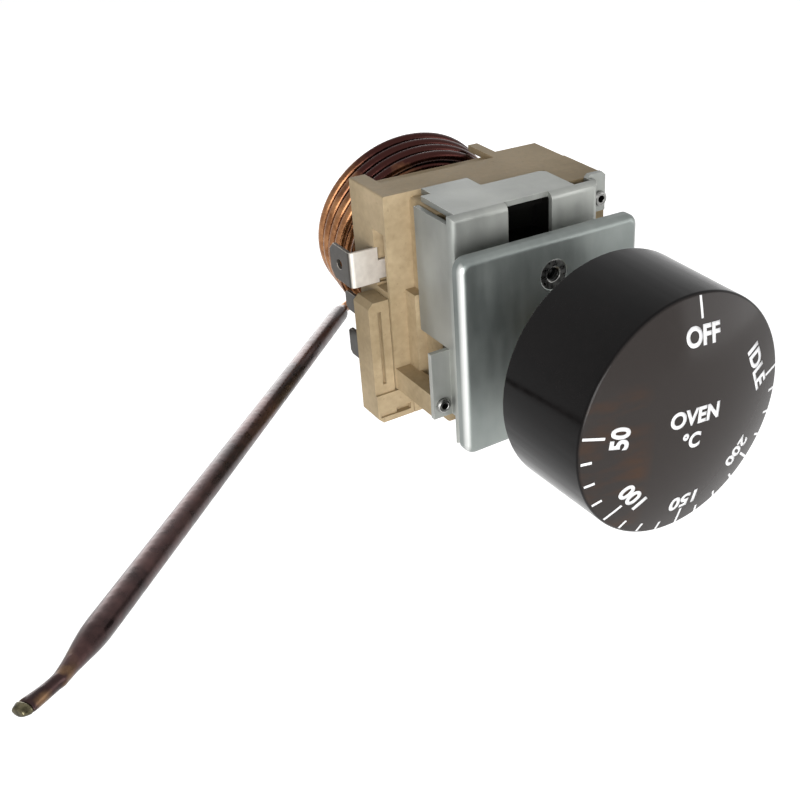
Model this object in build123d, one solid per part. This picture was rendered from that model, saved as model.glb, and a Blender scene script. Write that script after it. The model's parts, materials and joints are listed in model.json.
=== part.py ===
from build123d import *
import math
import os

os.makedirs("parts", exist_ok=True)

# Capillary oven thermostat with its control knob. X is to the right seen from the front,
# Y runs to the rear along the spindle, Z is up. The origin is where the spindle's axis
# meets the front face of the mounting plate. All sizes are in millimetres.

# Clearances
running = 0.05
seat = 0.02
free = 0.3

# Sheet metal
sheet = 1.2
bend = 1.6
spring_sheet = 0.5

# Mounting plate, a shallow tray with its rims folded to the rear
plate_width = 45.0
plate_height = 44.5
plate_rim = 3.1
plate_corner = 2.6
plate_spindle_hole = 12.5
screw_pitch = 28.0
screw_tap_hole = 3.3
spacer_neck = 6.5
spacer_body = 8.5
spacer_sink = 0.2
spacer_stake = 0.4

# Bracket, a folded box behind the plate
bracket_gap = 8.95
bracket_width = 37.4
bracket_top = 27.5
bracket_bottom = -25.3
bracket_depth = 14.2
flange_end = 13.1
flange_depth = 12.6
flange_corner = 1.6
tongue_start = -14.5
tongue_end = -3.2
seam = 0.6
notch_width = 10.0
notch_depth = 7.0
lug_set_back = 4.0
lug_margin = 0.1
right_lug_trim = 0.6
right_lug_low = 19.4
right_lug_high = 28.2
left_lug_low = -18.4
left_lug_high = -2.6
lug_cut = 0.8
rivet_hole = 2.8
rivet_head = 3.4
rivet_head_rise = 0.9
rivet_bore = 1.6
rivet_edge = 0.3
rivet_offset = 2.2
right_rivet_height = 22.4
left_rivet_height = -15.4

# Spindle and its bush
spindle_diameter = 6.0
spindle_flat = 4.6
spindle_reach = 36.0
flat_length = 22.0
spindle_lead = 0.4
bush_flange = 12.0
bush_flange_rise = 1.5
bush_body = 9.0
bush_length = 4.6
bush_stake = 0.5
bush_lead = 0.4
ring_groove = 4.8
ring_width = 1.0
ring_outer = 9.6
ring_mouth = 4.4
collar_diameter = 9.0
collar_length = 1.6
thread_diameter = 5.0
thread_end_gap = 0.4
thread_lead = 0.75

# Rotation stop
turn_range = 281.0
stop_radius = 9.4
stop_pin_diameter = 2.6
stop_pin_head = 3.8
stop_pin_head_rise = 0.6
stop_disc_outer = 11.0
stop_margin = 0.5
stop_disc_hub = 6.4
stop_disc_thickness = 1.4

# Knob, a domed cup on a central hub
knob_diameter = 50.0
knob_rear_diameter = 50.8
knob_rear = 17.8
knob_front = 40.5
knob_dome = 4.5
knob_wall = 2.4
knob_face_wall = 1.7
knob_edge = 0.9
hub_diameter = 11.0
hub_rear = 16.0
clip_length = 4.5
clip_thickness = 0.6
clip_mouth = 5.0

# Moulded base in two halves
boss_width = 4.6
body_top = 27.2
body_bottom = -25.5
body_front = 27.5
parting = 33.0
body_rear = 40.8
rear_wall = 2.2
body_corner = 1.2
top_corner = 0.4
collar_inset = 0.3
collar_pocket_width = 26.0
collar_pocket_low = 13.6
collar_pocket_wall = 1.2
collar_pocket_depth = 8.2
boss_gap = 0.35
right_boss_low = 14.0
post_half = 2.6
guide_wall = 4.7
guide_ledge = 0.8
pin_guide_length = 3.8
rib_left = -19.5
rib_low = -18.0
rib_high = 5.5
crown_gap = 0.4
guide_gap = 0.2
right_step = 38.5
right_step_low = 9.0
pocket_depth = 3.6
pocket_front = 28.4
pocket_low = 5.4
pocket_high = 18.6
switch_width = 15.0
switch_low = -14.5
switch_high = 12.4
top_step = 35.4
top_step_left = -19.5
top_step_right = 9.4
top_step_drop = 1.3
coil_rest_depth = 0.6
coil_rest_low = 20.6
keeper_width = 2.5
keeper_reach = 5.1
keeper_thickness = 1.5
rear_rib_reach = 1.1
rear_rib_low = 5.4

# Terminal shoulders on the rear half
shoulder_reach = 5.1
shoulder_top = 4.0
shoulder_rear = 34.6
shoulder_front_gap = 0.6
foot_top = -18.4
foot_right = -19.2
foot_gap = 0.4
groove_width = 0.9
groove_depth = 1.0
groove_low = -16.2
groove_high = 1.6
slot_height = 1.6
slot_low = -24.2
slot_inset = 0.7
slot_depth = 1.4

# Terminals
blade = 0.8
blade_bend = 1.2
line_tab_height = 8.2
line_tab_centre = 10.1
line_tab_reach = 5.9
line_tab_rear = 42.3
line_hole = 2.3
line_hole_back = 4.2
tab_chamfer = 1.8
rear_tab_reach = 2.8
rear_tab_rear = 43.2
signal_tab_height = 4.6
signal_tab_centre = -0.9
common_tab_height = 6.6
common_tab_centre = -11.3
leg_height = 4.4
leg_end = 2.6
lip_reach = 3.4

# Switch inside the base
nut_length = 5.2
nut_width = 10.0
nut_height = 12.4
nut_corner = 0.8
capsule_margin = 0.7
capsule_rim = 0.9
capsule_bulge = 0.9
capsule_ripple = 0.4
capsule_flat_share = 0.45
capsule_valley_share = 0.6
capsule_ridge_share = 0.75
capsule_rim_share = 0.86
capsule_stem = 4.0
capsule_stem_length = 0.8
button_diameter = 5.0
button_length = 0.8
pin_diameter = 2.4
pin_head = 4.4
pin_head_length = 0.8
pin_travel = 0.4
pin_clearance = 0.05
arm_width = 5.0
arm_waist = 3.4
contact_height = 9.0
arm_tip = 2.2
contact_diameter = 3.4
contact_rise = 0.6
contact_edge = 0.2
calibration_diameter = 4.0
calibration_height = -6.5
calibration_rise = 1.0
calibration_slot = 0.8
inlet_stub = 1.8
inlet_stub_diameter = 1.5

# Capillary tube, wound up behind the base, and the sensing bulb on its end
tube_diameter = 2.4
tube_sides = 12
coil_margin = 2.15
coil_x = -2.7
coil_z = 6.3
coil_offset = 1.0
coil_tilt = 14.3
coil_pan = -2.9
coil_pitch = 2.7
full_turns = 4
coil_start_angle = -28.0
inlet_run = 3.0
inlet_bend = 2.0
inlet_margin = 0.15
bulb_diameter = 4.0
bulb_length = 134.0
bulb_direction = (-0.643, -0.753, 0.141)
bulb_top = (-17.56, 63.26, -14.0)
bulb_shoulder = 4.0
swage_wall = 0.15
neck_diameter = 2.1
neck_length = 12.0
tail_direction = (-0.85, -0.51, 0.125)
tail_length = 5.2
tail_width = 2.9
tail_thickness = 1.9
seal_length = 1.2
seal_taper = 0.67

# Places worked out from the sizes above
bracket_front = bracket_gap
bracket_rear = bracket_front + bracket_depth
lug_rear = bracket_front + lug_set_back
lug_front = lug_rear - sheet
half_bracket = bracket_width / 2
half_body = half_bracket + boss_width
half_collar = half_bracket - sheet - collar_inset
lug_reach = boss_width - lug_margin
rivet_x = half_bracket + rivet_offset
pin_guide_diameter = 2 * (half_collar - guide_wall)
capsule_well = pin_guide_diameter - 2 * guide_ledge
capsule_diameter = capsule_well - 2 * capsule_margin
coil_radius = half_body - coil_margin
coil_y = body_rear + coil_radius * math.sin(math.radians(coil_tilt)) + coil_offset
keeper_right = top_step_right + keeper_width
flange_rear = bracket_front + flange_depth
bush_front = bracket_front - bush_flange_rise
bush_rear = bracket_front + bush_length
collar_rear = bush_rear + running + collar_length
disc_front = collar_rear
disc_rear = disc_front + stop_disc_thickness
nut_travel = turn_range / 360 * thread_lead
nut_front = disc_rear + nut_travel + free
nut_rear = nut_front + nut_length
thread_front = disc_rear
thread_rear = nut_rear - nut_travel - thread_end_gap
collar_front = disc_rear + free
capsule_front = nut_rear + capsule_stem_length
capsule_rear = capsule_front + capsule_rim + 2 * capsule_bulge
capsule_middle = (capsule_front + capsule_rear) / 2
well_rear = parting - pin_guide_length
button_rear = capsule_rear + button_length
pin_front = button_rear + seat
leg_front = parting + seat
leg_rear = leg_front + blade
lip_face = common_tab_centre - leg_height / 2 + blade
arm_root = lip_face + running
contact_travel = pin_travel * (contact_height - arm_root) / -arm_root
fixed_face = leg_rear + contact_rise
arm_front = fixed_face + contact_travel + running + contact_rise
arm_rear = arm_front + spring_sheet
shoulder_x = half_body + shoulder_reach


def rod(diameter, start, end, x=0.0, z=0.0):
    """Round bar along Y from start to end."""
    line = Plane((x, start, z), x_dir=(1, 0, 0), z_dir=(0, 1, 0))
    return extrude(line * Circle(diameter / 2), amount=end - start)


def slab(sketch, start, end):
    """A front-view outline given depth from start to end along Y."""
    front = Plane((0, start, 0), x_dir=(1, 0, 0), z_dir=(0, -1, 0))
    return extrude(front * sketch, amount=start - end)


def box_outline(left, right, low, high):
    """A rectangle in the front view, by its sides."""
    return Pos((left + right) / 2, (low + high) / 2) * Rectangle(right - left, high - low)


def block(left, right, start, end, low, high):
    """A straight-sided piece of material or space, by its six sides."""
    return slab(box_outline(left, right, low, high), start, end)


def turned(*profile):
    """A piece turned about the spindle's axis, from radius and place pairs."""
    return revolve(make_face(Polyline(*profile, close=True)), Axis.Y)


def edges_along_depth(solid):
    """The straight edges that run from front to rear."""
    return solid.edges().filter_by(Axis.Y)


def edges_at_front(solid):
    """The edges round the front face."""
    return solid.faces().sort_by(Axis.Y)[0].edges()


def edges_at_rear(solid):
    """The edges round the rear face."""
    return solid.faces().sort_by(Axis.Y)[-1].edges()


def write(shape, node):
    """Save one piece under its node name."""
    shape.label = node
    export_step(shape, "parts/" + node + ".step")


def knob():
    """Domed cup with a thin skirt and a hub that has a flat in its bore."""
    radius = knob_diameter / 2
    sphere = (radius ** 2 + knob_dome ** 2) / (2 * knob_dome)
    half_angle = math.asin(radius / sphere) / 2
    middle = (sphere * math.sin(half_angle), -knob_front - knob_dome + sphere * (1 - math.cos(half_angle)))
    skirt = Polyline(
        (0, -knob_front - knob_dome),
        (0, -knob_rear),
        (knob_rear_diameter / 2, -knob_rear),
        (radius, -knob_front),
    )
    dome = ThreePointArc((radius, -knob_front), middle, (0, -knob_front - knob_dome))
    cup = revolve(make_face(skirt + dome), Axis.Y)
    rim = cup.edges().filter_by(Plane.XZ).sort_by(Axis.Y)[0]
    cup = fillet(rim, knob_edge)
    inner_front = -knob_front + knob_face_wall
    hollow = turned(
        (hub_diameter / 2, -knob_rear),
        (knob_rear_diameter / 2 - knob_wall, -knob_rear),
        (radius - knob_wall, inner_front),
        (hub_diameter / 2, inner_front),
    )
    stub = rod(hub_diameter, -knob_rear, -hub_rear)
    return cup - hollow + stub - spindle_bar(spindle_reach + seat, -hub_rear, seat)


def spindle_bar(reach, end, gap):
    """Round bar with one flat along its front part, grown by a gap all round."""
    bar = rod(spindle_diameter + 2 * gap, -reach, end)
    flat_height = spindle_flat - spindle_diameter / 2 + gap
    cut = block(-spindle_diameter, spindle_diameter, -reach, min(end, flat_length - spindle_reach),
                flat_height, spindle_diameter)
    return bar - cut


def knob_clip():
    """Split spring band that closes the hub on the spindle."""
    inner = hub_diameter / 2
    band = turned(
        (inner, -hub_rear - clip_length),
        (inner + clip_thickness, -hub_rear - clip_length),
        (inner + clip_thickness, -hub_rear),
        (inner, -hub_rear),
    )
    mouth = block(-clip_mouth / 2, clip_mouth / 2, -hub_rear - clip_length, -hub_rear, 0, hub_diameter)
    return band - mouth


def spindle():
    """Control spindle with ring groove, thrust collar and threaded tail."""
    bar = spindle_bar(spindle_reach, thread_front, 0)
    bar = chamfer(edges_at_front(bar), spindle_lead)
    groove_front = bush_front - running - ring_width
    outside = rod(ring_outer, groove_front, groove_front + ring_width)
    bar = bar - (outside - rod(ring_groove, groove_front, groove_front + ring_width))
    collar = rod(collar_diameter, bush_rear + running, collar_rear)
    thread = rod(thread_diameter, thread_front, thread_rear)
    return bar + collar + chamfer(edges_at_rear(thread), spindle_lead)


def spindle_ring():
    """Open retaining ring in the spindle's groove."""
    rear = bush_front - running
    ring = rod(ring_outer, rear - ring_width, rear) - rod(ring_groove, rear - ring_width, rear)
    mouth = block(-ring_mouth / 2, ring_mouth / 2, rear - ring_width, rear, -ring_outer, 0)
    return ring - mouth


def spindle_bush():
    """Flanged bearing bush staked in the bracket."""
    bore = spindle_diameter / 2 + running
    return turned(
        (bore, bush_front),
        (bush_flange / 2, bush_front),
        (bush_flange / 2, bracket_front),
        (bush_body / 2, bracket_front),
        (bush_body / 2, bracket_front + sheet),
        (bush_body / 2 + bush_stake, bracket_front + sheet),
        (bush_body / 2 - bush_lead, bush_rear),
        (bore, bush_rear),
    )


def stop_disc():
    """Disc on the spindle whose broad finger meets the stop pin at both ends of the turn."""
    pin_angle = 2 * math.degrees(math.asin(stop_pin_diameter / 2 / stop_radius))
    finger = 360 - turn_range - pin_angle - 2 * stop_margin
    first = 180 - pin_angle / 2 - stop_margin
    reach = stop_disc_outer
    tip = (reach * math.cos(math.radians(first)), reach * math.sin(math.radians(first)))
    last = first - finger
    far = (reach * math.cos(math.radians(last)), reach * math.sin(math.radians(last)))
    between = math.radians((first + last) / 2)
    middle = (reach * math.cos(between), reach * math.sin(between))
    wing = make_face(Line((0, 0), tip) + ThreePointArc(tip, middle, far) + Line(far, (0, 0)))
    outline = wing + Circle(stop_disc_hub) - Circle(spindle_diameter / 2 + seat)
    return slab(outline, disc_front, disc_rear)


def stop_pin():
    """Pin riveted in the bracket's front, beside the bush."""
    front = bracket_front - stop_pin_head_rise
    shank = rod(stop_pin_diameter, front, disc_rear, -stop_radius, 0)
    return shank + rod(stop_pin_head, front, bracket_front, -stop_radius, 0)


def mounting_plate():
    """Shallow pressed tray with rounded corners and rims drawn to the rear."""
    tray = slab(RectangleRounded(plate_width, plate_height, plate_corner), 0, plate_rim)
    tray = fillet(edges_at_front(tray), bend)
    floor = RectangleRounded(plate_width - 2 * sheet, plate_height - 2 * sheet, plate_corner - sheet)
    inside = slab(floor, sheet, plate_rim)
    tray = tray - fillet(edges_at_front(inside), bend - sheet)
    for side in (-1, 1):
        tray = tray - rod(spacer_neck + 2 * seat, 0, sheet, 0, side * screw_pitch / 2)
    return tray - rod(plate_spindle_hole, 0, sheet)


def plate_spacers():
    """Two shouldered, tapped spacers that carry the plate on the bracket."""
    pair = []
    for side in (-1, 1):
        height = side * screw_pitch / 2
        end = bracket_front + sheet + spacer_stake
        spacer = rod(spacer_body, sheet, bracket_front, 0, height)
        spacer = spacer + rod(spacer_neck, spacer_sink, end, 0, height)
        pair.append(spacer - rod(screw_tap_hole, spacer_sink, end, 0, height))
    return Compound(pair)


def bracket():
    """Folded steel box: front, two sides, top and bottom flanges and two fixing lugs."""
    outside = block(-half_bracket, half_bracket, bracket_front, bracket_rear, bracket_bottom, bracket_top)
    outside = fillet(edges_at_front(outside), bend)
    inside = block(-half_bracket + sheet, half_bracket - sheet, bracket_front + sheet, bracket_rear,
                   bracket_bottom + sheet, bracket_top - sheet)
    shell = outside - fillet(edges_at_front(inside), bend - sheet)
    inner = half_bracket - sheet
    back = body_front - seam
    tongue = block(tongue_start, tongue_end, bracket_rear, back, bracket_top - sheet, bracket_top)
    top_space = block(flange_end, inner, bracket_front + bend, back, bracket_top - sheet, bracket_top)
    bottom_space = block(-inner, -flange_end, bracket_front + bend, back, bracket_bottom,
                         bracket_bottom + sheet)
    top_back = block(tongue_end, half_bracket, flange_rear, back, bracket_top - sheet, bracket_top)
    bottom_back = block(-half_bracket, half_bracket, flange_rear, back, bracket_bottom,
                        bracket_bottom + sheet)
    seam_height = sheet + seam
    left_seam = block(-half_bracket, -inner + seam, bracket_front + bend, back,
                      bracket_top - seam_height, bracket_top)
    right_seam = block(inner - seam, half_bracket, bracket_front + bend, back, bracket_bottom,
                       bracket_bottom + seam_height)
    left_open = block(-half_bracket, -inner, lug_rear, back, bracket_bottom, left_lug_high)
    left_end = block(-half_bracket, -inner, bracket_front + bend, back, bracket_bottom, left_lug_low)
    right_open = block(inner, half_bracket, lug_rear, back, right_lug_low, bracket_top)
    notch = block(-notch_width / 2, notch_width / 2, bracket_front, bracket_front + bend,
                  bracket_top - notch_depth, bracket_top)
    shell = shell + tongue - top_space - bottom_space - top_back - bottom_back - left_seam - right_seam
    shell = shell - left_open - left_end - right_open - notch
    ends = [
        edge for edge in shell.edges().filter_by(Axis.Z)
        if math.isclose(abs(edge.center().X), flange_end) and math.isclose(edge.center().Y, flange_rear)
    ]
    shell = fillet(ends, flange_corner)
    left_lug = box_outline(-half_bracket - lug_reach, -inner, left_lug_low, left_lug_high)
    right_lug = box_outline(inner, half_bracket + lug_reach - right_lug_trim, right_lug_low, right_lug_high)
    right_lug = chamfer(right_lug.vertices().group_by(Axis.Y)[-1], lug_cut)
    shell = shell + slab(left_lug, lug_front, lug_rear) + slab(right_lug, lug_front, lug_rear)
    shell = shell - rod(rivet_hole, lug_front, lug_rear, rivet_x, right_rivet_height)
    shell = shell - rod(rivet_hole, lug_front, lug_rear, -rivet_x, left_rivet_height)
    shell = shell - rod(bush_body, bracket_front, bracket_front + sheet)
    shell = shell - rod(stop_pin_diameter, bracket_front, bracket_front + sheet, -stop_radius, 0)
    for side in (-1, 1):
        shell = shell - rod(spacer_neck, bracket_front, bracket_front + sheet, 0, side * screw_pitch / 2)
    return shell


def rivet_pair(diameter, front, rear):
    """Two bars on the rivets' lines, for the holes."""
    right = rod(diameter, front, rear, rivet_x, right_rivet_height)
    return right + rod(diameter, front, rear, -rivet_x, left_rivet_height)


def body_rivets():
    """Two long hollow rivets that clamp both halves of the base to the lugs."""
    pair = []
    for x, z, rear in ((rivet_x, right_rivet_height, right_step), (-rivet_x, left_rivet_height, body_rear)):
        rivet = rod(rivet_hole - 2 * seat, lug_front, rear, x, z)
        rivet = rivet + rod(rivet_head, lug_front - rivet_head_rise, lug_front, x, z)
        rivet = rivet + rod(rivet_head, rear, rear + rivet_head_rise, x, z)
        rivet = chamfer(edges_at_front(rivet), rivet_edge)
        pair.append(rivet - rod(rivet_bore, lug_front - rivet_head_rise, rear + rivet_head_rise, x, z))
    return Compound(pair)


def moulded(left, right, start, end, low, high):
    """A moulded block with rounded lower corners and crisper upper ones."""
    shape = block(left, right, start, end, low, high)
    shape = fillet(edges_along_depth(shape).group_by(Axis.Z)[0], body_corner)
    return fillet(edges_along_depth(shape).group_by(Axis.Z)[-1], top_corner)


def crown():
    """Upper right part of the front half, level with the top, fitted round the bracket's flange."""
    low = right_lug_low + crown_gap
    behind = block(tongue_end + crown_gap, half_body, flange_rear + crown_gap, body_front, low, body_top)
    beside = block(flange_end + crown_gap, half_body, lug_rear + crown_gap, body_front, low, body_top)
    return behind + beside


def base_front():
    """Front half of the moulded base: body, collar inside the bracket, crown, boss, post and rib."""
    body = moulded(-half_body, half_body, body_front, parting, body_bottom, body_top)
    body = body - block(-half_body, foot_right, body_front, parting, body_bottom, foot_top + foot_gap)
    collar_top = bracket_top - sheet - collar_inset
    collar = block(-half_collar, half_collar, collar_front, body_front,
                   bracket_bottom + sheet + collar_inset, collar_top)
    collar = fillet(edges_along_depth(collar), body_corner)
    pocket_side = collar_pocket_width / 2
    collar = collar - block(-pocket_side, pocket_side, collar_front, collar_front + collar_pocket_depth,
                            collar_pocket_low, collar_top - collar_pocket_wall)
    boss_inside = half_bracket + boss_gap
    boss = block(boss_inside, half_body, lug_rear, body_front, right_boss_low, body_top)
    post = block(-half_bracket - lug_reach, -boss_inside, lug_rear, body_front,
                 left_rivet_height - post_half, left_rivet_height + post_half)
    rib = block(rib_left, -half_collar, bracket_rear + crown_gap, body_front, rib_low, rib_high)
    half = body + collar + crown() + boss + post + rib
    guide = Rectangle(nut_width + 2 * guide_gap, nut_height + 2 * guide_gap)
    half = half - slab(guide, collar_front, nut_rear)
    half = half - rod(capsule_well, nut_rear, well_rear) - rod(pin_guide_diameter, well_rear, parting)
    side_gap = tube_diameter / 2 + 2 * inlet_margin
    half = half - block(0, inlet_x + side_gap, capsule_middle - side_gap, parting, inlet_z - side_gap,
                        inlet_z + side_gap)
    half = half - block(-half_body, -half_body + pocket_depth, pocket_front, parting, pocket_low,
                        pocket_high)
    return half - rivet_pair(rivet_hole, lug_rear, parting)


def shoulder(side):
    """Terminal shoulder that laps the front half on one side, with a groove down its front."""
    gap = side * boss_gap / 2
    front = body_front + shoulder_front_gap
    near, far = sorted((side * half_body + gap, side * shoulder_x))
    lobe = block(near, far, front, shoulder_rear, body_bottom, shoulder_top)
    near, far = sorted((side * (half_body - body_corner), side * shoulder_x))
    lobe = lobe + block(near, far, parting, shoulder_rear, body_bottom, shoulder_top)
    lobe = chamfer(lobe.edges().filter_by(Axis.Y).sort_by(Axis.X)[::side][-2:], body_corner)
    middle = side * (half_body + shoulder_reach / 2)
    groove = block(middle - groove_width / 2, middle + groove_width / 2, front, front + groove_depth,
                   groove_low, groove_high)
    return lobe - groove


def foot():
    """Slotted bar across the lower left corner, which ties the left shoulder to the rear half."""
    right = foot_right - boss_gap / 2
    bar = block(-shoulder_x, right, body_front, parting, body_bottom, foot_top)
    bar = chamfer(edges_along_depth(bar).group_by(Axis.X)[0].sort_by(Axis.Z)[0], body_corner)
    return bar - block(-shoulder_x + slot_inset, right - slot_inset, body_front, body_front + slot_depth,
                       slot_low, slot_low + slot_height)


def terminal_legs():
    """Middle and height of each terminal where it lies in the parting."""
    return (
        (line_tab_centre, line_tab_height),
        (signal_tab_centre, signal_tab_height),
        (common_tab_centre, common_tab_height),
    )


def base_rear():
    """Rear half: closed back, switch chamber, two shoulders, the foot and the coil's rest and keeper."""
    rib_rear = body_rear + rear_rib_reach
    body = moulded(-half_body, half_body, parting, rib_rear, body_bottom, body_top)
    body = body - block(top_step_left, half_body, body_rear, rib_rear, body_bottom, body_top)
    body = body - block(-half_body, top_step_left, body_rear, rib_rear, body_bottom, rear_rib_low)
    half = body + shoulder(-1) + shoulder(1) + foot()
    half = half - block(top_step_left, top_step_right, top_step, body_rear, body_top - top_step_drop,
                        body_top)
    half = half - block(top_step_left, keeper_right, body_rear - coil_rest_depth, body_rear,
                        coil_rest_low, body_top)
    half = half - block(keeper_right, half_body, right_step, body_rear, right_step_low, body_top)
    half = half + block(top_step_right, keeper_right, right_step, body_rear + keeper_reach,
                        body_top - keeper_thickness, body_top)
    half = half - block(-switch_width / 2, switch_width / 2, parting, body_rear - rear_wall, switch_low,
                        switch_high)
    tab_left = -half_body - rear_tab_reach - seat
    for middle, height in terminal_legs():
        low = middle - height / 2 - seat
        high = middle + height / 2 + seat
        left = -shoulder_x if middle == line_tab_centre else tab_left
        half = half - block(left, 0, parting, leg_rear + seat, low, high)
        if left == tab_left:
            half = half - block(left, left + blade + 2 * seat, parting, shoulder_rear, low, high)
    half = half - rod(tube_diameter + 2 * inlet_margin, parting, body_rear, inlet_x, inlet_z)
    half = half - rod(calibration_diameter + 2 * seat, body_rear - rear_wall, body_rear, 0,
                      calibration_height)
    return half - rivet_pair(rivet_hole, parting, body_rear)


def pin_guide():
    """Ceramic disc that closes the capsule's well and guides the push pin."""
    disc = rod(pin_guide_diameter - 2 * seat, well_rear, parting - seat)
    return disc - rod(pin_diameter + 2 * pin_clearance, well_rear, parting)


def adjusting_nut():
    """Square-sided nut on the spindle's thread, which slides in the base's collar."""
    nut = slab(Rectangle(nut_width, nut_height), nut_front, nut_rear)
    nut = chamfer(edges_along_depth(nut), nut_corner)
    return nut - rod(thread_diameter + 2 * running, nut_front, nut_rear)


def diaphragm_capsule():
    """Two dished diaphragms with a welded rim, a front stem, a rear button and an inlet stub."""
    radius = capsule_diameter / 2
    flat = radius * capsule_flat_share
    valley = radius * capsule_valley_share
    ridge = radius * capsule_ridge_share
    rim = radius * capsule_rim_share
    rim_front = capsule_middle - capsule_rim / 2
    rim_rear = capsule_middle + capsule_rim / 2
    discs = turned(
        (0, nut_rear),
        (capsule_stem / 2, nut_rear),
        (capsule_stem / 2, capsule_front),
        (flat, capsule_front),
        (valley, capsule_front + capsule_ripple),
        (ridge, capsule_front + capsule_ripple / 2),
        (rim, rim_front),
        (radius, rim_front),
        (radius, rim_rear),
        (rim, rim_rear),
        (ridge, capsule_rear - capsule_ripple / 2),
        (valley, capsule_rear - capsule_ripple),
        (flat, capsule_rear),
        (button_diameter / 2, capsule_rear),
        (button_diameter / 2 - capsule_ripple, button_rear),
        (0, button_rear),
    )
    side = Plane((rim, capsule_middle, inlet_z), x_dir=(0, 1, 0), z_dir=(1, 0, 0))
    stub = extrude(side * Circle(inlet_stub_diameter / 2), amount=radius - rim + inlet_stub)
    return discs + stub


def push_pin():
    """Ceramic pin with a round head, between the capsule and the contact arm."""
    head = rod(pin_head, pin_front, pin_front + pin_head_length)
    return head + rod(pin_diameter, pin_front, arm_front - running)


def contact_arm():
    """Waisted leaf that swings on the common terminal's lip."""
    tip = contact_height + arm_tip
    half = arm_width / 2
    waist = arm_waist / 2
    middle = (tip + arm_root) / 2
    outline = make_face(
        Polyline((-half, arm_root), (half, arm_root), (half, arm_root + arm_width), (waist, middle),
                 (half, contact_height - half), (half, tip), (-half, tip), (-half, contact_height - half),
                 (-waist, middle), (-half, arm_root + arm_width), close=True)
    )
    return slab(outline, arm_front, arm_rear)


def moving_contact():
    """Silver button on the arm, facing forward."""
    button = rod(contact_diameter, arm_front - contact_rise, arm_front, 0, contact_height)
    return chamfer(edges_at_front(button), contact_edge)


def fixed_contact():
    """Silver button on the line terminal's leg, facing the arm."""
    button = rod(contact_diameter, leg_rear, fixed_face, 0, contact_height)
    return chamfer(edges_at_rear(button), contact_edge)


def calibration_screw():
    """Slotted screw in the back wall, set just clear of the contact arm."""
    screw = rod(calibration_diameter, arm_rear + pin_travel + free, body_rear + calibration_rise, 0,
                calibration_height)
    slot = block(-calibration_diameter, calibration_diameter, body_rear + calibration_rise / 2,
                 body_rear + calibration_rise, calibration_height - calibration_slot / 2,
                 calibration_height + calibration_slot / 2)
    return screw - slot


def folded_tab(reach, rear, middle, height):
    """Blade that leaves the parting sideways and folds to the rear, chamfered at its end."""
    outer = -half_body - reach
    path = Polyline((-half_body + blade, leg_front), (outer, leg_front), (outer, rear),
                    (outer + blade, rear), (outer + blade, leg_rear), (-half_body + blade, leg_rear),
                    close=True)
    level = Plane((0, 0, middle - height / 2), x_dir=(1, 0, 0), z_dir=(0, 0, 1))
    tab = extrude(level * make_face(path), amount=height)
    tab = fillet(tab.edges().filter_by(Axis.Z).group_by(Axis.X)[0].sort_by(Axis.Y)[0], blade_bend)
    ends = edges_at_rear(tab).filter_by(Axis.X)
    return chamfer(ends, tab_chamfer if height > line_hole + 2 * tab_chamfer + blade else blade)


def line_terminal():
    """Wide blade with a hole, and an inner leg that carries the fixed contact."""
    tab = folded_tab(line_tab_reach, line_tab_rear, line_tab_centre, line_tab_height)
    side = Plane((-half_body - line_tab_reach, line_tab_rear - line_hole_back, line_tab_centre),
                 x_dir=(0, 1, 0), z_dir=(1, 0, 0))
    tab = tab - extrude(side * Circle(line_hole / 2), amount=blade)
    leg = block(-half_body + blade, leg_end, leg_front, leg_rear, contact_height - leg_height / 2,
                contact_height + leg_height / 2)
    return tab + leg


def signal_terminal():
    """Narrow blade for the pilot lamp, joined to the arm's rest side."""
    tab = folded_tab(rear_tab_reach, rear_tab_rear, signal_tab_centre, signal_tab_height)
    end = -switch_width / 2 + blade
    return tab + block(-half_body + blade, end, leg_front, leg_rear,
                       signal_tab_centre - signal_tab_height / 2,
                       signal_tab_centre + signal_tab_height / 2)


def common_terminal():
    """Blade whose leg ends in a folded lip that the contact arm swings on."""
    tab = folded_tab(rear_tab_reach, rear_tab_rear, common_tab_centre, common_tab_height)
    low = common_tab_centre - leg_height / 2
    leg = block(-half_body + blade, leg_end, leg_front, leg_rear, low, low + leg_height)
    lip = block(-leg_end, leg_end, leg_front, leg_rear + lip_reach, low, low + blade)
    return tab + leg + lip


def unit(vector):
    """The vector at length one."""
    return Vector(*vector).normalized()


def coil_place(half, angle):
    """A place on one half turn of the coil before it is tilted, with its angle seen from the front."""
    lean = coil_pitch / 4
    side = 1 if half % 2 == 0 else -1
    sine = math.sin(math.radians(angle))
    cosine = math.cos(math.radians(angle))
    reach = math.hypot(coil_radius, lean)
    return Vector(reach * cosine, half * coil_pitch / 2 - side * lean * sine, coil_radius * sine)


def coil():
    """Half turns from top to bottom and back, each an arc in a plane that leans by half the pitch."""
    halfway = (coil_start_angle - 90) / 2
    turns = [ThreePointArc(coil_place(0, coil_start_angle), coil_place(0, halfway), coil_place(0, -90))]
    for half in range(1, 2 * full_turns + 1):
        if half % 2:
            turns.append(ThreePointArc(coil_place(half, -90), coil_place(half, 180), coil_place(half, 90)))
        else:
            turns.append(ThreePointArc(coil_place(half, 90), coil_place(half, 0), coil_place(half, -90)))
    seat_place = Location((coil_x, coil_y, coil_z), (coil_tilt, 0, coil_pan))
    return [seat_place * turn for turn in turns]


def coil_entry():
    """Corner where the tube leaves its run through the base and heads for the first turn."""
    first = coil()[0]
    return first @ 0 - (first % 0) * inlet_run


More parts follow.
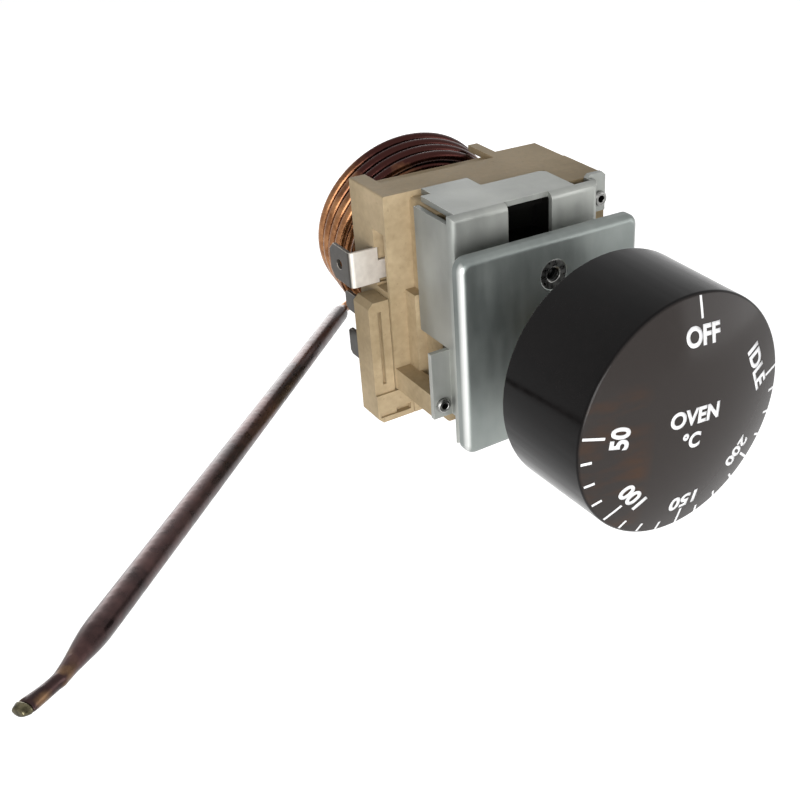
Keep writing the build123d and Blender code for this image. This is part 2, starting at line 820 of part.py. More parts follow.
def capillary():
    """One thin tube: from the capsule, through the base, round the coil and out to the bulb."""
    turns = coil()
    start_x = capsule_diameter / 2 + inlet_stub + free
    inlet = FilletPolyline(
        (start_x, capsule_middle, inlet_z),
        (inlet_x, capsule_middle, inlet_z),
        coil_entry(),
        turns[0] @ 0,
        radius=inlet_bend,
    )
    lead = Spline(turns[-1] @ 1, bulb_top, tangents=[turns[-1] % 1, unit(bulb_direction)])
    run = Wire(list(inlet.edges()) + turns + [lead])
    section = Plane(inlet @ 0, z_dir=(1, 0, 0)) * RegularPolygon(tube_diameter / 2, tube_sides)
    return sweep(section, path=run, is_frenet=False)


def swage(first, second):
    """Smooth draw from one radius and place along the bulb to the next."""
    return Spline(first, second, tangents=[(0, 0, 1), (0, 0, 1)])


def sensor_bulb():
    """Long thin bulb, swaged down to the capillary above and drawn to a pinched tail below."""
    along = Plane(bulb_top, z_dir=unit(bulb_direction))
    low = bulb_shoulder + bulb_length
    head = (tube_diameter / 2 + swage_wall, 0, 0)
    body_start = (bulb_diameter / 2, 0, bulb_shoulder)
    body_end = (bulb_diameter / 2, 0, low)
    neck = (neck_diameter / 2, 0, low + neck_length)
    outline = (
        Line((0, 0, 0), head) + swage(head, body_start) + Line(body_start, body_end) + swage(body_end, neck)
        + Polyline(neck, (0, 0, low + neck_length), (0, 0, 0))
    )
    return along * revolve(make_face(outline), Axis.Z) + bulb_tail()


def neck_end():
    """Where the drawn neck meets the pinched tail."""
    return Vector(*bulb_top) + unit(bulb_direction) * (bulb_shoulder + bulb_length + neck_length)


def tail_end():
    """Where the pinched tail meets its seal."""
    return neck_end() + unit(tail_direction) * tail_length


def bulb_tail():
    """Tail that bends away from the neck and flattens towards its end."""
    start = Plane(neck_end(), z_dir=unit(bulb_direction)).offset(-neck_diameter / 2)
    middle = Plane(neck_end() + unit(tail_direction) * neck_diameter, z_dir=unit(tail_direction))
    end = Plane(tail_end(), z_dir=unit(tail_direction))
    return loft([start * Circle(neck_diameter / 2), middle * Circle(neck_diameter / 2),
                 end * Ellipse(tail_width / 2, tail_thickness / 2)])


def bulb_seal():
    """Bead of hard solder that closes the tail."""
    end = Plane(tail_end(), z_dir=unit(tail_direction))
    base = end * Ellipse(tail_width / 2, tail_thickness / 2)
    cap = end.offset(seal_length) * Ellipse(seal_taper * tail_width / 2, seal_taper * tail_thickness / 2)
    return loft([base, cap])


inlet_x = coil_entry().X
inlet_z = coil_entry().Z

write(knob(), "knob")
write(knob_clip(), "knob_clip")
write(spindle(), "spindle")
write(spindle_ring(), "spindle_ring")
write(spindle_bush(), "spindle_bush")
write(stop_disc(), "stop_disc")
write(stop_pin(), "stop_pin")
write(mounting_plate(), "mounting_plate")
write(plate_spacers(), "plate_spacers")
write(bracket(), "bracket")
write(body_rivets(), "body_rivets")
write(base_front(), "base_front")
write(base_rear(), "base_rear")
write(pin_guide(), "pin_guide")
write(adjusting_nut(), "adjusting_nut")
write(diaphragm_capsule(), "diaphragm_capsule")
write(push_pin(), "push_pin")
write(contact_arm(), "contact_arm")
write(moving_contact(), "moving_contact")
write(fixed_contact(), "fixed_contact")
write(calibration_screw(), "calibration_screw")
write(line_terminal(), "line_terminal")
write(signal_terminal(), "signal_terminal")
write(common_terminal(), "common_terminal")
write(capillary(), "capillary")
write(sensor_bulb(), "sensor_bulb")
write(bulb_seal(), "bulb_seal")
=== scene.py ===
import json
import math

import bmesh
import bpy
from mathutils import Matrix, Vector

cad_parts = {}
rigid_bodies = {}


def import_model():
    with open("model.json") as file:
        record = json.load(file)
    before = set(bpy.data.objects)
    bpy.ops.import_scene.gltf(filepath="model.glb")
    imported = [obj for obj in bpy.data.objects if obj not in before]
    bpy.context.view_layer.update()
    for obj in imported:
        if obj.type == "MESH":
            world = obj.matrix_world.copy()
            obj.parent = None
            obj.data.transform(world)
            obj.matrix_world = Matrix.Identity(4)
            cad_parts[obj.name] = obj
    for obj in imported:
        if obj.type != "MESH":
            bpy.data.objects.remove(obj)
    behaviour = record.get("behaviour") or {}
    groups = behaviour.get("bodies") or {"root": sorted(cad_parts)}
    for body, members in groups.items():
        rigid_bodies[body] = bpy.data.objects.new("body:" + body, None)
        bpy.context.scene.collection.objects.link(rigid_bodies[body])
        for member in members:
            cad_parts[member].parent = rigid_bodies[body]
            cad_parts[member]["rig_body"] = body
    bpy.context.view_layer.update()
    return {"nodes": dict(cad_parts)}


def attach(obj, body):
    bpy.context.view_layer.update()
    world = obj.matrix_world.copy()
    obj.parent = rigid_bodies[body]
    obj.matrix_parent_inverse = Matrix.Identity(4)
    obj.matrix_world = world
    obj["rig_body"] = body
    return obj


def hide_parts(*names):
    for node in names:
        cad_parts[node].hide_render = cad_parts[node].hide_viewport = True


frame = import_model()
scene = bpy.context.scene
mm = 0.001
print("frame loaded:", len(frame["nodes"]), "nodes")


# Shared helpers

def newPiece(name, mesh):
    piece = bpy.data.objects.new(name, mesh)
    scene.collection.objects.link(piece)
    return piece


def smoothMesh(mesh, angle):
    mesh.shade_smooth()
    mesh.set_sharp_from_angle(angle=math.radians(angle))


def plainMesh(piece):
    # the evaluated object as one mesh with no modifiers, in place of the piece
    bpy.context.view_layer.update()
    graph = bpy.context.evaluated_depsgraph_get()
    mesh = bpy.data.meshes.new_from_object(piece.evaluated_get(graph), depsgraph=graph)
    name = piece.name
    bpy.data.objects.remove(piece)
    mesh.name = name
    return newPiece(name, mesh)


def looseMesh(piece):
    mesh = piece.data
    bpy.data.objects.remove(piece)
    return mesh


def openShape(mesh):
    shape = bmesh.new()
    shape.from_mesh(mesh)
    return shape


def bakeShape(shape, mesh):
    shape.to_mesh(mesh)
    shape.free()
    return mesh


def joinMeshes(name, meshes):
    shape = bmesh.new()
    for mesh in meshes:
        shape.from_mesh(mesh)
    return bakeShape(shape, bpy.data.meshes.new(name))


def dress(piece, material, body):
    piece.data.materials.clear()
    piece.data.materials.append(material)
    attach(piece, body)


# Node helpers, for materials and Geometry Nodes alike

def addNode(tree, kind, links=None, **settings):
    # links go from a socket's name or number to a value or to another node's output
    node = tree.nodes.new(kind)
    for name, value in settings.items():
        setattr(node, name, value)
    for name, value in (links or {}).items():
        if isinstance(value, bpy.types.NodeSocket):
            tree.links.new(value, node.inputs[name])
        else:
            node.inputs[name].default_value = value
    return node


def addMath(tree, work, *values):
    return addNode(tree, "ShaderNodeMath", dict(enumerate(values)), operation=work).outputs[0]


def addRange(tree, value, fromLow, fromHigh, toLow=0.0, toHigh=1.0, **settings):
    spread = addNode(tree, "ShaderNodeMapRange", {
        "Value": value, "From Min": fromLow, "From Max": fromHigh, "To Min": toLow,
        "To Max": toHigh}, **settings)
    return spread.outputs["Result"]


# Material helpers. All patterns are in Object coordinates, in metres

noiseSpread = (0.3, 0.7)    # where nearly all of a noise's values lie
toneSpread = (0.36, 0.66)   # the part of them that runs from the dark tone to the light one
bumpDepth = 0.02 * mm
wearPatches = {"scale": 260, "spread": (0.38, 0.56)}


def addNoise(tree, place, scale, detail=3.0, stretch=(1, 1, 1)):
    mapping = addNode(tree, "ShaderNodeMapping", {"Vector": place, "Scale": stretch})
    noise = addNode(tree, "ShaderNodeTexNoise", {
        "Vector": mapping.outputs["Vector"], "Scale": scale, "Detail": detail})
    return noise.outputs["Fac"]


def splitPlace(tree, place):
    return addNode(tree, "ShaderNodeSeparateXYZ", {"Vector": place}).outputs


def mixColours(tree, factor, first, second):
    mix = addNode(tree, "ShaderNodeMix", {0: factor}, data_type="RGBA")
    colours = [socket for socket in mix.inputs if socket.type == "RGBA"]
    for socket, value in zip(colours, (first, second)):
        if isinstance(value, tuple):
            socket.default_value = (*value, 1)
        else:
            tree.links.new(value, socket)
    return [socket for socket in mix.outputs if socket.type == "RGBA"][0]


def addWear(tree, place, colour, worn):
    # the soft copies carry an attribute that is 1 on their broken edges
    edge = addNode(tree, "ShaderNodeAttribute", attribute_name="edgeWear")
    patches = addRange(tree, addNoise(tree, place, wearPatches["scale"], 2.0), *wearPatches["spread"])
    return mixColours(tree, addMath(tree, "MULTIPLY", edge.outputs["Fac"], patches), colour, worn)


def boxMask(tree, place, low, high, soft):
    # 1 inside the box between two corners, fading to 0 over the soft distance outside it
    split = splitPlace(tree, place)
    mask = None
    for axis in range(3):
        above = addRange(tree, split[axis], low[axis] - soft, low[axis])
        below = addRange(tree, split[axis], high[axis] + soft, high[axis])
        both = addMath(tree, "MULTIPLY", above, below)
        mask = both if mask is None else addMath(tree, "MULTIPLY", mask, both)
    return mask


def startFinish(name, finish):
    # two tones that drift over the surface, a finer grain on top, a drifting roughness and a bump
    material = bpy.data.materials.new(name)
    material.use_nodes = True
    tree = material.node_tree
    shader = tree.nodes["Principled BSDF"]
    place = addNode(tree, "ShaderNodeTexCoord").outputs["Object"]
    drift = addNoise(tree, place, finish["driftScale"], 4.0)
    grain = addNoise(tree, place, finish["grainScale"], 3.0, finish.get("stretch", (1, 1, 1)))
    blend = addMath(tree, "MULTIPLY_ADD", grain, finish["grainShare"], drift)
    low, high = (tone + finish["grainShare"] / 2 for tone in toneSpread)
    colour = mixColours(tree, addRange(tree, blend, low, high), finish["dark"], finish["light"])
    tree.links.new(addRange(tree, grain, *noiseSpread, *finish["roughness"]), shader.inputs["Roughness"])
    bump = addNode(tree, "ShaderNodeBump", {
        "Height": grain, "Strength": finish["bump"], "Distance": bumpDepth})
    tree.links.new(bump.outputs["Normal"], shader.inputs["Normal"])
    shader.inputs["Metallic"].default_value = finish.get("metal", 0.0)
    shader.inputs["Specular IOR Level"].default_value = finish.get("specular", 0.5)
    return material, tree, shader, place, colour


def makeFinish(name, finish):
    material, tree, shader, place, colour = startFinish(name, finish)
    if "worn" in finish:
        colour = addWear(tree, place, colour, finish["worn"])
    tree.links.new(colour, shader.inputs["Base Color"])
    return material


bareMetal = {"grainScale": 900, "grainShare": 0.4, "bump": 0.08, "metal": 1.0}
zincCoat = {"driftScale": 34, "grainScale": 260, "grainShare": 0.25, "stretch": (1.3, 1, 0.35),
            "bump": 0.05, "specular": 0.25}
finishes = {
    "bracketZinc": {**zincCoat, "dark": (0.25, 0.26, 0.245), "light": (0.40, 0.41, 0.385),
                    "worn": (0.66, 0.66, 0.62), "roughness": (0.40, 0.50), "metal": 0.6},
    "plainSteel": {**bareMetal, "dark": (0.13, 0.13, 0.125), "light": (0.26, 0.26, 0.25),
                   "worn": (0.45, 0.45, 0.43), "driftScale": 200, "roughness": (0.22, 0.38)},
    "springSteel": {**bareMetal, "dark": (0.14, 0.14, 0.15), "light": (0.26, 0.26, 0.27),
                    "driftScale": 200, "roughness": (0.22, 0.36)},
    "turnedBrass": {"dark": (0.40, 0.28, 0.11), "light": (0.60, 0.45, 0.20), "driftScale": 180,
                    "grainScale": 1200, "grainShare": 0.5, "stretch": (1, 0.15, 1),
                    "roughness": (0.20, 0.36), "bump": 0.10, "metal": 1.0},
    "contactBronze": {**bareMetal, "dark": (0.38, 0.22, 0.10), "light": (0.55, 0.34, 0.17),
                      "driftScale": 180, "roughness": (0.24, 0.38)},
    "contactSilver": {**bareMetal, "dark": (0.58, 0.57, 0.54), "light": (0.78, 0.77, 0.74),
                      "driftScale": 300, "grainScale": 1500, "roughness": (0.20, 0.34)},
    "capsuleSteel": {**bareMetal, "dark": (0.32, 0.32, 0.31), "light": (0.48, 0.48, 0.46),
                     "driftScale": 120, "grainScale": 1200, "roughness": (0.22, 0.34)},
    "steatite": {"dark": (0.62, 0.59, 0.51), "light": (0.74, 0.71, 0.63), "driftScale": 150,
                 "grainScale": 1500, "grainShare": 0.4, "roughness": (0.55, 0.75), "bump": 0.2},
    "solder": {"dark": (0.020, 0.018, 0.010), "light": (0.13, 0.115, 0.070), "driftScale": 420,
               "grainScale": 1600, "grainShare": 0.5, "roughness": (0.18, 0.34), "bump": 0.3,
               "metal": 1.0},
    "dialWhite": {"dark": (0.74, 0.74, 0.75), "light": (0.84, 0.84, 0.84), "driftScale": 500,
                  "grainScale": 3000, "grainShare": 0.4, "roughness": (0.40, 0.55), "bump": 0.1},
}
materials = {name: makeFinish(name, finish) for name, finish in finishes.items()}

# Mounting plate: duller zinc, its front bends at the left and right sides painted pale as a painted
# highlight
plateZinc = {**zincCoat, "dark": (0.17, 0.19, 0.183), "light": (0.28, 0.305, 0.29),
             "worn": (0.42, 0.43, 0.41), "roughness": (0.34, 0.46), "metal": 0.7,
             "bendHighlight": (0.72, 0.73, 0.71), "bend": (21.35 * mm, 21.95 * mm), "bendShare": 0.8,
             "front": (1.6 * mm, 0.8 * mm)}


def makePlateZinc():
    material, tree, shader, place, colour = startFinish("plateZinc", plateZinc)
    split = splitPlace(tree, place)
    side = addMath(tree, "ABSOLUTE", split["X"])
    # painted highlight: the front bends at the left and right sides are painted pale
    bend = addRange(tree, side, *plateZinc["bend"], 0.0, plateZinc["bendShare"])
    front = addRange(tree, split["Y"], *plateZinc["front"])
    bendHighlightMask = addMath(tree, "MULTIPLY", bend, front)
    colour = mixColours(tree, bendHighlightMask, colour, plateZinc["bendHighlight"])
    tree.links.new(addWear(tree, place, colour, plateZinc["worn"]), shader.inputs["Base Color"])
    return material


materials["plateZinc"] = makePlateZinc()

# Black phenolic knob: glossy and a little cloudy, its front face painted lighter than its side as a
# painted sheen, with brownish painted reflections at the left
knobBlack = {"dark": (0.0035, 0.0030, 0.0030), "light": (0.0065, 0.0055, 0.0055),
             "worn": (0.10, 0.095, 0.09), "driftScale": 45, "grainScale": 600, "grainShare": 0.3,
             "roughness": (0.14, 0.20), "bump": 0.02, "specular": 0.11,
             "faceSheen": (0.034, 0.029, 0.027), "face": (-40.3 * mm, -40.7 * mm),
             "brownReflection": (0.052, 0.030, 0.020), "brownReflectionLow": (-0.026, -0.046, -0.024),
             "brownReflectionHigh": (-0.013, -0.038, 0.010), "brownReflectionSoft": 0.003,
             "reflectionScale": 150, "reflectionStretch": (0.5, 1, 1.4), "reflectionSpread": (0.44, 0.66)}


def makeKnobBlack():
    material, tree, shader, place, colour = startFinish("knobBlack", knobBlack)
    # painted sheen: the front face is painted a lighter grey than the side
    face = addRange(tree, splitPlace(tree, place)["Y"], *knobBlack["face"])
    colour = mixColours(tree, face, colour, knobBlack["faceSheen"])
    # painted reflection: brownish streaks over the left of the face
    area = boxMask(tree, place, knobBlack["brownReflectionLow"], knobBlack["brownReflectionHigh"],
                   knobBlack["brownReflectionSoft"])
    reflectionWaves = addNoise(tree, place, knobBlack["reflectionScale"], 3.0, knobBlack["reflectionStretch"])
    reflectionPattern = addRange(tree, reflectionWaves, *knobBlack["reflectionSpread"])
    brownReflection = addMath(tree, "MULTIPLY", addMath(tree, "MULTIPLY", area, reflectionPattern), face)
    colour = mixColours(tree, brownReflection, colour, knobBlack["brownReflection"])
    tree.links.new(addWear(tree, place, colour, knobBlack["worn"]), shader.inputs["Base Color"])
    return material


materials["knobBlack"] = makeKnobBlack()

# Beige moulding: a mineral-filled resin, mottled, with painted shade making the pocket behind the
# bracket's notch nearly black
beigeResin = {"dark": (0.33, 0.25, 0.145), "light": (0.50, 0.39, 0.245), "worn": (0.60, 0.50, 0.34),
              "driftScale": 42, "grainScale": 700, "grainShare": 0.3, "roughness": (0.52, 0.66),
              "bump": 0.2, "specular": 0.2, "speck": (0.20, 0.14, 0.075), "speckScale": 1100,
              "speckSpread": (0.66, 0.74), "speckShare": 0.30, "pocketShade": (0.012, 0.011, 0.010),
              "pocketLow": (-0.0131, 0.0168, 0.0134), "pocketHigh": (0.0131, 0.0252, 0.0260),
              "pocketSoft": 0.0002}


def makeBeigeResin():
    material, tree, shader, place, colour = startFinish("beigeResin", beigeResin)
    grit = addNoise(tree, place, beigeResin["speckScale"], 2.0)
    specks = addRange(tree, grit, *beigeResin["speckSpread"], 0.0, beigeResin["speckShare"])
    colour = mixColours(tree, specks, colour, beigeResin["speck"])
    colour = addWear(tree, place, colour, beigeResin["worn"])
    # painted shade: the pocket behind the bracket's notch is painted nearly black
    pocket = boxMask(tree, place, beigeResin["pocketLow"], beigeResin["pocketHigh"],
                     beigeResin["pocketSoft"])
    tree.links.new(mixColours(tree, pocket, colour, beigeResin["pocketShade"]), shader.inputs["Base Color"])
    return material


materials["beigeResin"] = makeBeigeResin()

# Terminals: bright tinned legs at the parting, the blades from the bend rearwards painted dark as
# painted shade and dark reflection
terminalTin = {"dark": (0.66, 0.61, 0.55), "light": (0.84, 0.79, 0.72), "worn": (0.40, 0.37, 0.33),
               "driftScale": 160, "grainScale": 700, "grainShare": 0.3, "roughness": (0.30, 0.42),
               "bump": 0.04, "metal": 0.3, "specular": 0.15, "bladeShade": (0.022, 0.019, 0.016),
               "bladeShadeSpan": (33.3 * mm, 33.7 * mm), "bladeShadeShare": 0.95}


def makeTerminalTin():
    material, tree, shader, place, colour = startFinish("terminalTin", terminalTin)
    rearward = splitPlace(tree, place)["Y"]
    # painted shade and dark reflection: the blades are painted nearly black from the bend rearwards
    bladeShadeSpan = addRange(tree, rearward, *terminalTin["bladeShadeSpan"], 0.0, terminalTin["bladeShadeShare"])
    colour = mixColours(tree, bladeShadeSpan, colour, terminalTin["bladeShade"])
    tree.links.new(addWear(tree, place, colour, terminalTin["worn"]), shader.inputs["Base Color"])
    return material


materials["terminalTin"] = makeTerminalTin()

# Copper tube: copper tones all over, painted dark red towards the top of the coil as painted shade
tubeCopper = {"dark": (0.17, 0.070, 0.030), "light": (0.40, 0.20, 0.095), "driftScale": 130,
              "grainScale": 900, "grainShare": 0.4, "roughness": (0.20, 0.34), "bump": 0.06,
              "metal": 1.0, "topShade": (0.042, 0.015, 0.013), "topShadeHeight": (0.015, 0.025),
              "topShadeDrift": 0.006, "topShadeScale": 110}


def makeTubeCopper():
    material, tree, shader, place, colour = startFinish("tubeCopper", tubeCopper)
    waves = addNoise(tree, place, tubeCopper["topShadeScale"], 4.0)
    drift = addRange(tree, waves, *noiseSpread, -tubeCopper["topShadeDrift"], tubeCopper["topShadeDrift"])
    height = addMath(tree, "ADD", splitPlace(tree, place)["Z"], drift)
    # painted shade: the coil is painted dark red towards its top, along a wavy edge
    topShade = addRange(tree, height, *tubeCopper["topShadeHeight"])
    tree.links.new(mixColours(tree, topShade, colour, tubeCopper["topShade"]), shader.inputs["Base Color"])
    return material


materials["tubeCopper"] = makeTubeCopper()

# Bulb: copper under a purple-brown oxide, showing bronze in patches on the drawn tail
bulbCopper = {"dark": (0.030, 0.017, 0.017), "light": (0.090, 0.047, 0.044), "driftScale": 75,
              "grainScale": 500, "grainShare": 0.4, "roughness": (0.24, 0.38), "bump": 0.08,
              "metal": 0.9, "bronze": (0.14, 0.080, 0.043), "tail": (-0.1105, -0.1125),
              "bareScale": 240, "bareSpread": (0.50, 0.64)}


def makeBulbCopper():
    material, tree, shader, place, colour = startFinish("bulbCopper", bulbCopper)
    tail = addRange(tree, splitPlace(tree, place)["X"], *bulbCopper["tail"])
    bare = addRange(tree, addNoise(tree, place, bulbCopper["bareScale"]), *bulbCopper["bareSpread"])
    factor = addMath(tree, "MULTIPLY", tail, bare)
    tree.links.new(mixColours(tree, factor, colour, bulbCopper["bronze"]), shader.inputs["Base Color"])
    return material


materials["bulbCopper"] = makeBulbCopper()
print("materials made:", len(materials))


# Which finish each node takes, and how far the edges of its visible copy are broken, in mm.
# Nodes with no edge width are seen little or not at all and keep their own mesh
nodeLooks = {
    "knob": ("knobBlack", 0.25), "knob_clip": ("springSteel", None), "spindle": ("turnedBrass", 0.08),
    "spindle_ring": ("springSteel", None), "spindle_bush": ("turnedBrass", 0.08),
    "stop_disc": ("bracketZinc", 0.08), "stop_pin": ("plainSteel", None),
    "mounting_plate": ("plateZinc", 0.16), "plate_spacers": ("plainSteel", 0.10),
    "bracket": ("bracketZinc", 0.14), "body_rivets": ("plainSteel", 0.08),
    "base_front": ("beigeResin", 0.16), "base_rear": ("beigeResin", 0.16),
    "pin_guide": ("steatite", None), "adjusting_nut": ("turnedBrass", 0.10),
    "diaphragm_capsule": ("capsuleSteel", None), "push_pin": ("steatite", None),
    "contact_arm": ("contactBronze", None), "moving_contact": ("contactSilver", None),
    "fixed_contact": ("contactSilver", None), "calibration_screw": ("turnedBrass", 0.08),
    "line_terminal": ("terminalTin", 0.10), "signal_terminal": ("terminalTin", 0.10),
    "common_terminal": ("terminalTin", 0.10), "capillary": ("tubeCopper", 0.0),
    "sensor_bulb": ("bulbCopper", 0.0), "bulb_seal": ("solder", 0.0),
}

softSizes = {"weld": 0.002, "flatAngle": 0.3, "sharpAngle": 38, "bevelSteps": 2, "smoothing": 0.5}
# the drawn copper has no sharp step at its neck: remeshed at this many mm, smoothed so many times
remeshed = {"sensor_bulb": (0.28, 14), "bulb_seal": (0.12, 24)}
# the photo's notch is a little wider and deeper than the node's: low and high corner of the cut
shellCuts = {"bracket": ((-5.0, 8.0, 16.0), (6.1, 10.6, 27.7))}


def makeCutter(low, high):
    size = [(high[axis] - low[axis]) * mm for axis in range(3)]
    middle = [(high[axis] + low[axis]) / 2 * mm for axis in range(3)]
    shape = bmesh.new()
    bmesh.ops.create_cube(shape, size=1.0)
    bmesh.ops.scale(shape, verts=shape.verts, vec=size)
    bmesh.ops.translate(shape, verts=shape.verts, vec=middle)
    return newPiece("cutter", bakeShape(shape, bpy.data.meshes.new("cutter")))


def cutShell(piece, corners):
    cutter = makeCutter(*corners)
    cut = piece.modifiers.new("cut", "BOOLEAN")
    cut.operation = "DIFFERENCE"
    cut.object = cutter
    piece = plainMesh(piece)
    bpy.data.objects.remove(cutter)
    for face in piece.data.polygons:
        face.material_index = 0
    return piece


def markEdges(mesh):
    # the bevel's faces came with material 1: that becomes the wear attribute
    wear = mesh.attributes.new("edgeWear", "FLOAT", "CORNER")
    for face in mesh.polygons:
        for corner in face.loop_indices:
            wear.data[corner].value = float(face.material_index)
        face.material_index = 0


def softCopy(node, edge):
    shape = openShape(frame["nodes"][node].data)
    bmesh.ops.remove_doubles(shape, verts=shape.verts, dist=softSizes["weld"] * mm)
    bmesh.ops.dissolve_limit(shape, angle_limit=math.radians(softSizes["flatAngle"]),
                             verts=shape.verts, edges=shape.edges)
    for face in shape.faces:
        face.material_index = 0
    mesh = bakeShape(shape, bpy.data.meshes.new(node + "_shell"))
    for slot in range(2):
        mesh.materials.append(None)
    smoothMesh(mesh, softSizes["sharpAngle"])
    piece = newPiece(node + "_shell", mesh)
    if node in shellCuts:
        piece = cutShell(piece, shellCuts[node])
    if node in remeshed:
        voxel, rounds = remeshed[node]
        remesh = piece.modifiers.new("remesh", "REMESH")
        remesh.mode = "VOXEL"
        remesh.voxel_size = voxel * mm
        remesh.use_smooth_shade = True
        smoothed = piece.modifiers.new("smoothed", "SMOOTH")
        smoothed.factor = softSizes["smoothing"]
        smoothed.iterations = rounds
    if edge:
        bevel = piece.modifiers.new("brokenEdge", "BEVEL")
        bevel.width = edge * mm
        bevel.segments = softSizes["bevelSteps"]
        bevel.limit_method = "ANGLE"
        bevel.angle_limit = math.radians(softSizes["sharpAngle"])
        bevel.material = 1
    weighted = piece.modifiers.new("weighted", "WEIGHTED_NORMAL")
    weighted.keep_sharp = True
    piece = plainMesh(piece)
    markEdges(piece.data)
    return piece


for node, (finish, edge) in nodeLooks.items():
    carried = frame["nodes"][node]
    if edge is None:
        carried.data.materials.clear()
        carried.data.materials.append(materials[finish])
        continue
    shell = softCopy(node, edge)
    dress(shell, materials[finish], carried["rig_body"])
    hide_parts(node)
print("nodes dressed:", len(nodeLooks))


# Geometry Nodes helpers. A tree's sizes are named inputs, set by their sockets' identifiers

def startTree(name, sizes):
    tree = bpy.data.node_groups.new(name, "GeometryNodeTree")
    tree.interface.new_socket("Geometry", in_out="INPUT", socket_type="NodeSocketGeometry")
    for label, value in sizes.items():
        kind = "NodeSocketInt" if isinstance(value, int) else "NodeSocketFloat"
        tree.interface.new_socket(label, in_out="INPUT", socket_type=kind).default_value = value
    tree.interface.new_socket("Finish", in_out="INPUT", socket_type="NodeSocketMaterial")
    tree.interface.new_socket("Geometry", in_out="OUTPUT", socket_type="NodeSocketGeometry")
    return tree, tree.nodes.new("NodeGroupInput").outputs


def endTree(tree, inputs, geometry):
    whole = addNode(tree, "GeometryNodeRealizeInstances", {"Geometry": geometry})
    coated = addNode(tree, "GeometryNodeSetMaterial",
                     {"Geometry": whole.outputs[0], "Material": inputs["Finish"]})
    tree.links.new(coated.outputs[0], tree.nodes.new("NodeGroupOutput").inputs["Geometry"])


def growPiece(name, tree, sizes, material):
    piece = newPiece(name, bpy.data.meshes.new(name))
    grown = piece.modifiers.new("nodes", "NODES")
    grown.node_group = tree
    sockets = {item.name: item.identifier for item in tree.interface.items_tree
               if item.in_out == "INPUT"}
    for label, value in sizes.items():
        grown[sockets[label]] = value
    grown[sockets["Finish"]] = material
    return plainMesh(piece)


# Dial print, laid on the dome a hair proud of it

dial = {"rimRadius": 25.0, "rimPlace": -40.5, "rise": 4.5, "proud": 0.02, "thick": 0.05,
        "letterWeight": 0.038, "weld": 0.0002, "longEdge": 1.2}
# each word's width and height, its place to the side and up, and the angle it is turned clockwise
dialWords = {
    "OFF": (8.4, 3.9, 0.0, 17.65, 5.2), "50": (4.7, 3.8, 0.0, 17.5, 278.5),
    "100": (6.9, 3.5, 0.0, 17.95, 229.8), "150": (6.9, 3.5, 0.0, 18.1, 181.6),
    "200": (6.9, 3.5, 0.0, 17.9, 131.9), "IDLE": (10.0, 3.6, 0.0, 17.9, 70.0),
    "OVEN": (12.0, 3.5, -1.1, 2.35, 5.2), "°C": (4.5, 3.6, -1.4, -2.7, 5.2),
}
dialTicks = {"First Angle": 279.2, "Step Angle": -12.3, "Count": 17, "Long Every": 4, "Out": 24.5,
             "Long Length": 4.1, "Short Length": 2.0, "Width": 0.55}
offTick = {"First Angle": 4.9, "Step Angle": 0.0, "Count": 1, "Long Every": 1, "Out": 24.6,
           "Long Length": 4.0, "Short Length": 2.0, "Width": 0.55}
domeSphere = (dial["rimRadius"] ** 2 + dial["rise"] ** 2) / (2 * dial["rise"])


def layOnDome(mesh):
    # the flat print lies in X and Z, and each point moves back onto the dome
    for vertex in mesh.vertices:
        radius = min(math.hypot(vertex.co.x, vertex.co.z) / mm, dial["rimRadius"])
        sag = domeSphere - math.sqrt(domeSphere ** 2 - radius ** 2)
        vertex.co.y += (dial["rimPlace"] - dial["rise"] + sag - dial["proud"]) * mm


def dialText(word, width, height, side, up, angle):
    curve = bpy.data.curves.new("dialWord", "FONT")
    curve.body = word
    curve.offset = dial["letterWeight"]
    mesh = looseMesh(plainMesh(newPiece("dialWord", curve)))
    across = [vertex.co.x for vertex in mesh.vertices]
    upward = [vertex.co.y for vertex in mesh.vertices]
    left, right, bottom, top = min(across), max(across), min(upward), max(upward)
    mesh.transform(Matrix.Translation((-(left + right) / 2, -(bottom + top) / 2, 0)))
    mesh.transform(Matrix.Diagonal((width * mm / (right - left), height * mm / (top - bottom), 1, 1)))
    mesh.transform(Matrix.Translation((side * mm, up * mm, 0)))
    mesh.transform(Matrix.Rotation(math.radians(-angle), 4, "Z"))
    mesh.transform(Matrix.Rotation(math.radians(90), 4, "X"))
    return mesh


def thickenPrint(name, mesh):
    # the ink needs a little body: cut its large faces, lay them on the dome and thicken them
    shape = openShape(mesh)
    bmesh.ops.remove_doubles(shape, verts=shape.verts, dist=dial["weld"] * mm)
    bmesh.ops.triangulate(shape, faces=shape.faces)
    longEdges = [edge for edge in shape.edges if edge.calc_length() > dial["longEdge"] * mm]
    bmesh.ops.subdivide_edges(shape, edges=longEdges, cuts=1)
    bmesh.ops.triangulate(shape, faces=shape.faces)
    bmesh.ops.recalc_face_normals(shape, faces=shape.faces)
    layOnDome(bakeShape(shape, mesh))
    piece = newPiece(name, mesh)
    solid = piece.modifiers.new("thickness", "SOLIDIFY")
    solid.thickness = dial["thick"] * mm
    solid.offset = -1
    piece = plainMesh(piece)
    shape = openShape(piece.data)
    bmesh.ops.recalc_face_normals(shape, faces=shape.faces)
    bakeShape(shape, piece.data)
    dress(piece, materials["dialWhite"], "dial")


words = [dialText(word, *sizes) for word, sizes in dialWords.items()]
thickenPrint("dial_words", joinMeshes("dial_words", words))


